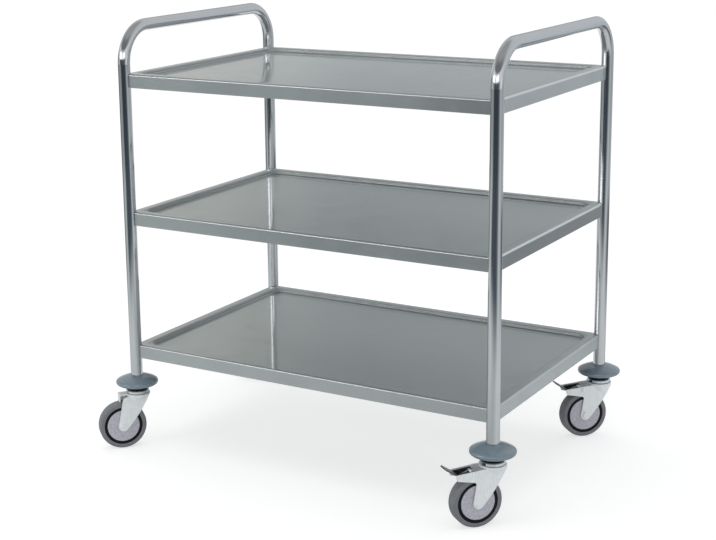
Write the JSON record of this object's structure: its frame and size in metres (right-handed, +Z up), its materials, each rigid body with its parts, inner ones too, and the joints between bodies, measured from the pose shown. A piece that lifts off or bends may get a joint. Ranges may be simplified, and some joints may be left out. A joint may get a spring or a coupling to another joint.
{
  "type": "serving trolley",
  "caption": "Tiered serving trolley of bent steel tube with pressed recessed trays, on swivel castors with bumper discs and foot brakes.",
  "frame": {"origin": "on the floor, under the middle of the frame: halfway between the four posts", "axes": "+X along the trays towards the castors with brakes, +Y across the trolley to the back of the picture, +Z up"},
  "size_m": [0.9372, 0.6669, 0.9042],
  "materials": {
    "tray_steel": "satin stainless sheet",
    "tube_steel": "polished stainless tube",
    "zinc_plate": "bright zinc plated",
    "bright_steel": "polished",
    "bumper_rubber": "blue-grey, slightly glossy",
    "grey_tyre": "grey, matt",
    "shoe_rubber": "black, matt",
    "black_plastic": "black, moulded",
    "guard_plastic": "lilac-grey, moulded"
  },
  "bodies": {
    "trolley": {"left_frame": "tube_steel", "right_frame": "tube_steel", "top_tray": "tray_steel", "middle_tray": "tray_steel", "bottom_tray": "tray_steel", "tray_channels": "tray_steel", "tray_bolts": "zinc_plate", "tray_inserts": "zinc_plate", "front_left_bumper": "bumper_rubber", "front_left_dust_seal": "black_plastic", "front_left_upper_race": "zinc_plate", "front_left_expander": "black_plastic", "front_left_stem_bolt": "zinc_plate", "front_right_bumper": "bumper_rubber", "front_right_dust_seal": "black_plastic", "front_right_upper_race": "zinc_plate", "front_right_expander": "black_plastic", "front_right_stem_bolt": "zinc_plate", "back_left_bumper": "bumper_rubber", "back_left_dust_seal": "black_plastic", "back_left_upper_race": "zinc_plate", "back_left_expander": "black_plastic", "back_left_stem_bolt": "zinc_plate", "back_right_bumper": "bumper_rubber", "back_right_dust_seal": "black_plastic", "back_right_upper_race": "zinc_plate", "back_right_expander": "black_plastic", "back_right_stem_bolt": "zinc_plate"},
    "front_left_swivel": {"front_left_balls": "bright_steel", "front_left_fork": "zinc_plate", "front_left_axle": "zinc_plate", "front_left_thread_guards": "guard_plastic"},
    "front_left_wheel": {"front_left_rim": "black_plastic", "front_left_tyre": "grey_tyre"},
    "front_right_swivel": {"front_right_balls": "bright_steel", "front_right_fork": "zinc_plate", "front_right_axle": "zinc_plate", "front_right_thread_guards": "guard_plastic", "front_right_brake_pin": "zinc_plate", "front_right_brake_spring": "bright_steel"},
    "front_right_wheel": {"front_right_rim": "black_plastic", "front_right_tyre": "grey_tyre"},
    "front_right_brake": {"front_right_brake_lever": "zinc_plate", "front_right_brake_shoe": "shoe_rubber"},
    "back_left_swivel": {"back_left_balls": "bright_steel", "back_left_fork": "zinc_plate", "back_left_axle": "zinc_plate", "back_left_thread_guards": "guard_plastic"},
    "back_left_wheel": {"back_left_rim": "black_plastic", "back_left_tyre": "grey_tyre"},
    "back_right_swivel": {"back_right_balls": "bright_steel", "back_right_fork": "zinc_plate", "back_right_axle": "zinc_plate", "back_right_thread_guards": "guard_plastic", "back_right_brake_pin": "zinc_plate", "back_right_brake_spring": "bright_steel"},
    "back_right_wheel": {"back_right_rim": "black_plastic", "back_right_tyre": "grey_tyre"},
    "back_right_brake": {"back_right_brake_lever": "zinc_plate", "back_right_brake_shoe": "shoe_rubber"}
  },
  "joints": [
    {"name": "front_left_turn", "type": "hinge", "parent": "trolley", "child": "front_left_swivel", "pos_m": [-0.414, -0.269, 0.119], "axis": [0, 0, 1], "continuous": true},
    {"name": "front_left_roll", "type": "hinge", "parent": "front_left_swivel", "child": "front_left_wheel", "pos_m": [-0.43742, -0.29501, 0.05], "axis": [0.7431, -0.6691, 0], "continuous": true},
    {"name": "front_right_turn", "type": "hinge", "parent": "trolley", "child": "front_right_swivel", "pos_m": [0.414, -0.269, 0.119], "axis": [0, 0, 1], "continuous": true},
    {"name": "front_right_roll", "type": "hinge", "parent": "front_right_swivel", "child": "front_right_wheel", "pos_m": [0.3915, -0.29581, 0.05], "axis": [0.766, -0.6428, 0], "continuous": true},
    {"name": "front_right_press", "type": "hinge", "parent": "front_right_swivel", "child": "front_right_brake", "pos_m": [0.38636, -0.30194, 0.107], "axis": [0.766, -0.6428, 0], "range_deg": [0, 12]},
    {"name": "back_left_turn", "type": "hinge", "parent": "trolley", "child": "back_left_swivel", "pos_m": [-0.414, 0.269, 0.119], "axis": [0, 0, 1], "continuous": true},
    {"name": "back_left_roll", "type": "hinge", "parent": "back_left_swivel", "child": "back_left_wheel", "pos_m": [-0.43742, 0.24299, 0.05], "axis": [0.7431, -0.6691, 0], "continuous": true},
    {"name": "back_right_turn", "type": "hinge", "parent": "trolley", "child": "back_right_swivel", "pos_m": [0.414, 0.269, 0.119], "axis": [0, 0, 1], "continuous": true},
    {"name": "back_right_roll", "type": "hinge", "parent": "back_right_swivel", "child": "back_right_wheel", "pos_m": [0.38925, 0.24425, 0.05], "axis": [0.7071, -0.7071, 0], "continuous": true},
    {"name": "back_right_press", "type": "hinge", "parent": "back_right_swivel", "child": "back_right_brake", "pos_m": [0.38359, 0.23859, 0.107], "axis": [0.7071, -0.7071, 0], "range_deg": [0, 12]}
  ]
}
